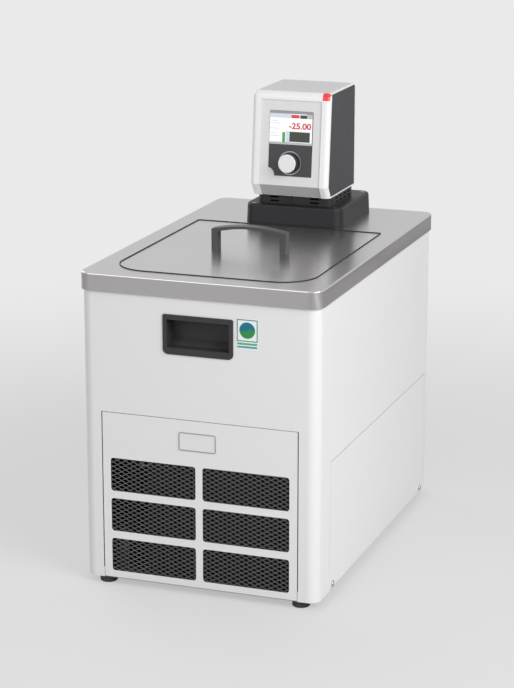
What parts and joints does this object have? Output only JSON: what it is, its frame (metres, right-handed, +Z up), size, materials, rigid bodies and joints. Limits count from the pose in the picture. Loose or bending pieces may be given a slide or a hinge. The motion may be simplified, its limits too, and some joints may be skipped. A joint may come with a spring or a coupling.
{
  "type": "heating and cooling circulator",
  "caption": "White bench circulator with a refrigerated bath under a lift-off steel lid, a front grille, and a screen and knob on a control head at the back.",
  "frame": {"origin": "centre of the footprint, on the bench under the feet", "axes": "+Z up, -Y out of the front with the grille, +X to the right as seen from the front"},
  "size_m": [0.38, 0.6, 0.7065],
  "materials": {
    "white_paint": "satin powder coat",
    "stainless": "brushed",
    "black_mesh": "satin",
    "galvanised": "dull",
    "screw_steel": "plated",
    "foot_rubber": "matt",
    "grip_plastic": "fine grain",
    "handle_plastic": "satin",
    "pedestal_plastic": "satin",
    "head_white": "satin",
    "head_grey": "satin",
    "panel_silver": "satin",
    "red_plastic": "gloss",
    "dark_glass": "gloss",
    "knob_silver": "satin",
    "knob_dark": "satin",
    "insulation": "foam",
    "copper": "drawn tube",
    "compressor_black": "enamel",
    "fin_metal": "bright",
    "inner_plastic": "moulded",
    "board_green": "lacquered",
    "drain_metal": "nickel plated",
    "socket_black": "moulded"
  },
  "bodies": {
    "base": {"feet": "foot_rubber", "base_pan": "galvanised", "case_wrap": "white_paint", "side_cover_left": "white_paint", "side_cover_right": "white_paint", "case_screws": "screw_steel", "rear_panel": "white_paint", "front_grip": "grip_plastic", "rear_grip": "grip_plastic", "top_deck": "stainless", "lid": "stainless", "lid_handle": "handle_plastic", "lid_handle_screws": "screw_steel", "bath_tank": "stainless", "evaporator_coil": "copper", "tank_insulation": "insulation", "compressor": "compressor_black", "compressor_mounts": "foot_rubber", "compressor_terminal_cover": "inner_plastic", "condenser": "fin_metal", "fan_shroud": "galvanised", "fan_motor": "compressor_black", "filter_drier": "copper", "refrigerant_pipes": "copper", "drain_pipe": "stainless", "drain_valve": "drain_metal", "electrics_box": "galvanised", "mains_inlet": "socket_black", "mains_switch_body": "socket_black", "pedestal": "pedestal_plastic", "pedestal_screws": "screw_steel", "collar": "pedestal_plastic", "immersion_plate": "stainless", "pump_motor": "compressor_black", "pump_housing": "stainless", "heater_coil": "stainless", "temperature_probe": "stainless", "float_stem": "stainless", "hose_connectors": "stainless", "head_frame": "head_white", "corner_insert": "red_plastic", "head_side_left": "head_grey", "head_side_right": "head_grey", "head_rear_cover": "head_grey", "front_panel": "panel_silver", "display_glass": "dark_glass", "display_module": "dark_glass", "head_circuit_board": "board_green", "knob_ring": "knob_silver", "encoder_body": "inner_plastic"},
    "grille": {"grille_panel": "white_paint", "expanded_mesh": "black_mesh"},
    "fan": {"fan_rotor": "inner_plastic"},
    "drain": {"drain_lever": "grip_plastic"},
    "rocker": {"mains_rocker": "socket_black"},
    "pump": {"pump_rotor": "stainless"},
    "float": {"level_float": "inner_plastic"},
    "knob_spindle": {"encoder_spindle": "screw_steel"},
    "knob": {"control_knob": "knob_dark", "knob_cap": "knob_silver"}
  },
  "joints": [
    {"name": "grille_pull", "type": "slide", "parent": "base", "child": "grille", "axis": [0, -1, 0], "range_m": [0, 0.12]},
    {"name": "fan_turn", "type": "hinge", "parent": "base", "child": "fan", "pos_m": [0.024, -0.2, 0.1035], "axis": [0, -1, 0], "continuous": true},
    {"name": "drain_lever_turn", "type": "hinge", "parent": "base", "child": "drain", "pos_m": [-0.14, -0.252, 0.075], "axis": [0, 0, 1], "range_deg": [0, 90]},
    {"name": "mains_rocker_tilt", "type": "hinge", "parent": "base", "child": "rocker", "pos_m": [-0.066, 0.2925, 0.092], "axis": [1, 0, 0], "range_deg": [0, 16]},
    {"name": "pump_turn", "type": "hinge", "parent": "base", "child": "pump", "pos_m": [0.028, 0.184, 0.5], "axis": [0, 0, 1], "continuous": true},
    {"name": "float_rise", "type": "slide", "parent": "base", "child": "float", "axis": [0, 0, 1], "range_m": [0, 0.014]},
    {"name": "knob_push", "type": "slide", "parent": "base", "child": "knob_spindle", "axis": [0, 0.995, -0.0998], "range_m": [0, 0.0015], "stiffness_N_per_m": 800, "springref_m": -0.001},
    {"name": "knob_turn", "type": "hinge", "parent": "knob_spindle", "child": "knob", "pos_m": [0.0052, 0.09621, 0.594], "axis": [0, -0.995, 0.0998], "continuous": true}
  ]
}
